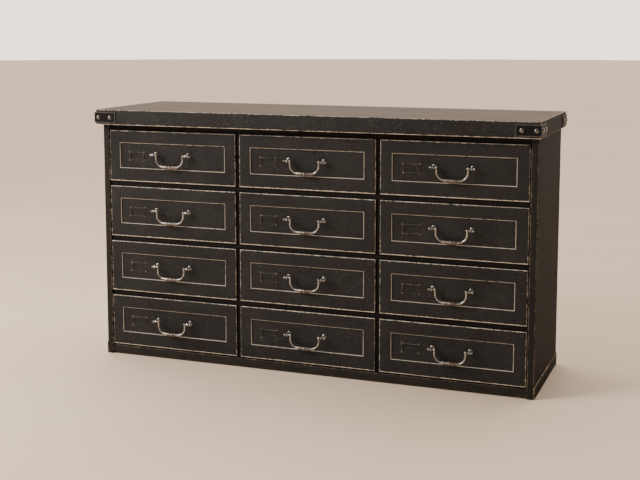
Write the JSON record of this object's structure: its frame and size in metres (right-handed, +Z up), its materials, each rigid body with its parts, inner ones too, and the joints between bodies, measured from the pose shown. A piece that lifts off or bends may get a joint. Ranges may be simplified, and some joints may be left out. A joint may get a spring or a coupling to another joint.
{
  "type": "dresser",
  "caption": "Wide low chest of framed inset drawers in columns, with a thick slab top, riveted corner brackets, drop bail pulls and label holders on each front.",
  "frame": {"origin": "on the floor, at the centre of the object's footprint", "axes": "+X is the width, from the left column to the right column seen from the front; the drawer fronts face -Y; +Z is up"},
  "size_m": [1.606, 0.508, 0.9],
  "materials": {
    "front_paint": "worn satin paint",
    "top_wood": "worn satin stain",
    "side_wood": "dark satin stain",
    "frame_dark": "matte dark paint",
    "inner_wood": "plain matte board",
    "drawer_wood": "clear matte lacquer",
    "pull_pewter": "aged nickel",
    "bracket_iron": "blackened iron",
    "slide_steel": "zinc-plated steel"
  },
  "bodies": {
    "carcass": {"left_side_panel": "side_wood", "right_side_panel": "side_wood", "top_field": "top_wood", "top_end_boards": "top_wood", "back_panel": "inner_wood", "base_trim": "front_paint", "front_rails": "frame_dark", "upright_dividers": "frame_dark", "bottom_panel": "inner_wood", "slide_channels": "slide_steel", "corner_brackets": "bracket_iron", "bracket_rivets": "bracket_iron"},
    "drawer_r1c1": {"drawer_front_r1c1": "front_paint", "drawer_box_r1c1": "drawer_wood", "drawer_hardware_r1c1": "pull_pewter"},
    "pull_r1c1": {"bail_r1c1": "pull_pewter"},
    "drawer_r1c2": {"drawer_front_r1c2": "front_paint", "drawer_box_r1c2": "drawer_wood", "drawer_hardware_r1c2": "pull_pewter"},
    "pull_r1c2": {"bail_r1c2": "pull_pewter"},
    "drawer_r1c3": {"drawer_front_r1c3": "front_paint", "drawer_box_r1c3": "drawer_wood", "drawer_hardware_r1c3": "pull_pewter"},
    "pull_r1c3": {"bail_r1c3": "pull_pewter"},
    "drawer_r2c1": {"drawer_front_r2c1": "front_paint", "drawer_box_r2c1": "drawer_wood", "drawer_hardware_r2c1": "pull_pewter"},
    "pull_r2c1": {"bail_r2c1": "pull_pewter"},
    "drawer_r2c2": {"drawer_front_r2c2": "front_paint", "drawer_box_r2c2": "drawer_wood", "drawer_hardware_r2c2": "pull_pewter"},
    "pull_r2c2": {"bail_r2c2": "pull_pewter"},
    "drawer_r2c3": {"drawer_front_r2c3": "front_paint", "drawer_box_r2c3": "drawer_wood", "drawer_hardware_r2c3": "pull_pewter"},
    "pull_r2c3": {"bail_r2c3": "pull_pewter"},
    "drawer_r3c1": {"drawer_front_r3c1": "front_paint", "drawer_box_r3c1": "drawer_wood", "drawer_hardware_r3c1": "pull_pewter"},
    "pull_r3c1": {"bail_r3c1": "pull_pewter"},
    "drawer_r3c2": {"drawer_front_r3c2": "front_paint", "drawer_box_r3c2": "drawer_wood", "drawer_hardware_r3c2": "pull_pewter"},
    "pull_r3c2": {"bail_r3c2": "pull_pewter"},
    "drawer_r3c3": {"drawer_front_r3c3": "front_paint", "drawer_box_r3c3": "drawer_wood", "drawer_hardware_r3c3": "pull_pewter"},
    "pull_r3c3": {"bail_r3c3": "pull_pewter"},
    "drawer_r4c1": {"drawer_front_r4c1": "front_paint", "drawer_box_r4c1": "drawer_wood", "drawer_hardware_r4c1": "pull_pewter"},
    "pull_r4c1": {"bail_r4c1": "pull_pewter"},
    "drawer_r4c2": {"drawer_front_r4c2": "front_paint", "drawer_box_r4c2": "drawer_wood", "drawer_hardware_r4c2": "pull_pewter"},
    "pull_r4c2": {"bail_r4c2": "pull_pewter"},
    "drawer_r4c3": {"drawer_front_r4c3": "front_paint", "drawer_box_r4c3": "drawer_wood", "drawer_hardware_r4c3": "pull_pewter"},
    "pull_r4c3": {"bail_r4c3": "pull_pewter"}
  },
  "joints": [
    {"name": "drawer_slide_r1c1", "type": "slide", "parent": "carcass", "child": "drawer_r1c1", "axis": [0, -1, 0], "range_m": [0, 0.3]},
    {"name": "bail_hinge_r1c1", "type": "hinge", "parent": "drawer_r1c1", "child": "pull_r1c1", "pos_m": [-0.51, -0.231, 0.742], "axis": [-1, 0, 0], "range_deg": [-15, 90]},
    {"name": "drawer_slide_r1c2", "type": "slide", "parent": "carcass", "child": "drawer_r1c2", "axis": [0, -1, 0], "range_m": [0, 0.3]},
    {"name": "bail_hinge_r1c2", "type": "hinge", "parent": "drawer_r1c2", "child": "pull_r1c2", "pos_m": [0, -0.231, 0.742], "axis": [-1, 0, 0], "range_deg": [-15, 90]},
    {"name": "drawer_slide_r1c3", "type": "slide", "parent": "carcass", "child": "drawer_r1c3", "axis": [0, -1, 0], "range_m": [0, 0.3]},
    {"name": "bail_hinge_r1c3", "type": "hinge", "parent": "drawer_r1c3", "child": "pull_r1c3", "pos_m": [0.51, -0.231, 0.742], "axis": [-1, 0, 0], "range_deg": [-15, 90]},
    {"name": "drawer_slide_r2c1", "type": "slide", "parent": "carcass", "child": "drawer_r2c1", "axis": [0, -1, 0], "range_m": [0, 0.3]},
    {"name": "bail_hinge_r2c1", "type": "hinge", "parent": "drawer_r2c1", "child": "pull_r2c1", "pos_m": [-0.51, -0.231, 0.541], "axis": [-1, 0, 0], "range_deg": [-15, 90]},
    {"name": "drawer_slide_r2c2", "type": "slide", "parent": "carcass", "child": "drawer_r2c2", "axis": [0, -1, 0], "range_m": [0, 0.3]},
    {"name": "bail_hinge_r2c2", "type": "hinge", "parent": "drawer_r2c2", "child": "pull_r2c2", "pos_m": [0, -0.231, 0.541], "axis": [-1, 0, 0], "range_deg": [-15, 90]},
    {"name": "drawer_slide_r2c3", "type": "slide", "parent": "carcass", "child": "drawer_r2c3", "axis": [0, -1, 0], "range_m": [0, 0.3]},
    {"name": "bail_hinge_r2c3", "type": "hinge", "parent": "drawer_r2c3", "child": "pull_r2c3", "pos_m": [0.51, -0.231, 0.541], "axis": [-1, 0, 0], "range_deg": [-15, 90]},
    {"name": "drawer_slide_r3c1", "type": "slide", "parent": "carcass", "child": "drawer_r3c1", "axis": [0, -1, 0], "range_m": [0, 0.3]},
    {"name": "bail_hinge_r3c1", "type": "hinge", "parent": "drawer_r3c1", "child": "pull_r3c1", "pos_m": [-0.51, -0.231, 0.34], "axis": [-1, 0, 0], "range_deg": [-15, 90]},
    {"name": "drawer_slide_r3c2", "type": "slide", "parent": "carcass", "child": "drawer_r3c2", "axis": [0, -1, 0], "range_m": [0, 0.3]},
    {"name": "bail_hinge_r3c2", "type": "hinge", "parent": "drawer_r3c2", "child": "pull_r3c2", "pos_m": [0, -0.231, 0.34], "axis": [-1, 0, 0], "range_deg": [-15, 90]},
    {"name": "drawer_slide_r3c3", "type": "slide", "parent": "carcass", "child": "drawer_r3c3", "axis": [0, -1, 0], "range_m": [0, 0.3]},
    {"name": "bail_hinge_r3c3", "type": "hinge", "parent": "drawer_r3c3", "child": "pull_r3c3", "pos_m": [0.51, -0.231, 0.34], "axis": [-1, 0, 0], "range_deg": [-15, 90]},
    {"name": "drawer_slide_r4c1", "type": "slide", "parent": "carcass", "child": "drawer_r4c1", "axis": [0, -1, 0], "range_m": [0, 0.3]},
    {"name": "bail_hinge_r4c1", "type": "hinge", "parent": "drawer_r4c1", "child": "pull_r4c1", "pos_m": [-0.51, -0.231, 0.139], "axis": [-1, 0, 0], "range_deg": [-15, 90]},
    {"name": "drawer_slide_r4c2", "type": "slide", "parent": "carcass", "child": "drawer_r4c2", "axis": [0, -1, 0], "range_m": [0, 0.3]},
    {"name": "bail_hinge_r4c2", "type": "hinge", "parent": "drawer_r4c2", "child": "pull_r4c2", "pos_m": [0, -0.231, 0.139], "axis": [-1, 0, 0], "range_deg": [-15, 90]},
    {"name": "drawer_slide_r4c3", "type": "slide", "parent": "carcass", "child": "drawer_r4c3", "axis": [0, -1, 0], "range_m": [0, 0.3]},
    {"name": "bail_hinge_r4c3", "type": "hinge", "parent": "drawer_r4c3", "child": "pull_r4c3", "pos_m": [0.51, -0.231, 0.139], "axis": [-1, 0, 0], "range_deg": [-15, 90]}
  ]
}
